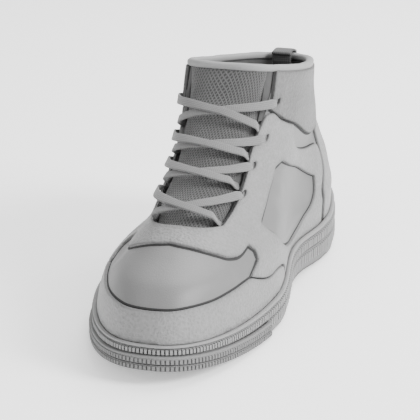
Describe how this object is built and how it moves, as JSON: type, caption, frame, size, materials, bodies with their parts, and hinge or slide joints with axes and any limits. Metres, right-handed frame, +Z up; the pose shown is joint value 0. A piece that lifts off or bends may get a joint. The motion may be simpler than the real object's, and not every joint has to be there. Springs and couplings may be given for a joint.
{
  "type": "basketball shoe",
  "caption": "Right-foot mid-top basketball shoe, laced, with a hollow upper, overlay panels, knit tongue, padded collar and ribbed cup sole.",
  "frame": {"origin": "middle of the shoe's bounding box, on the floor under the sole", "axes": "+Z up towards the collar, -Y towards the toe, +X towards the medial side"},
  "size_m": [0.1042, 0.3004, 0.1315],
  "materials": {
    "leather": "fine grain, matt",
    "base_leather": "smooth, matt",
    "knit": "two-tone open knit",
    "sole_rubber": "matt moulded",
    "tread_rubber": "matt moulded",
    "lining": "smooth padded textile",
    "lace": "flat woven",
    "webbing": "woven tape"
  },
  "bodies": {
    "root": {"ankle_cuff": "leather", "collar_roll": "lining", "heel_counter": "leather", "insole": "lining", "lace_crossing_1": "lace", "lace_crossing_2": "lace", "lace_crossing_3": "lace", "lace_crossing_4": "lace", "midsole": "sole_rubber", "mudguard": "leather", "outsole": "tread_rubber", "pull_loop": "webbing", "quarter_overlay": "leather", "toe_wrap": "tread_rubber", "tongue": "knit", "upper": "base_leather"}
  },
  "joints": []
}
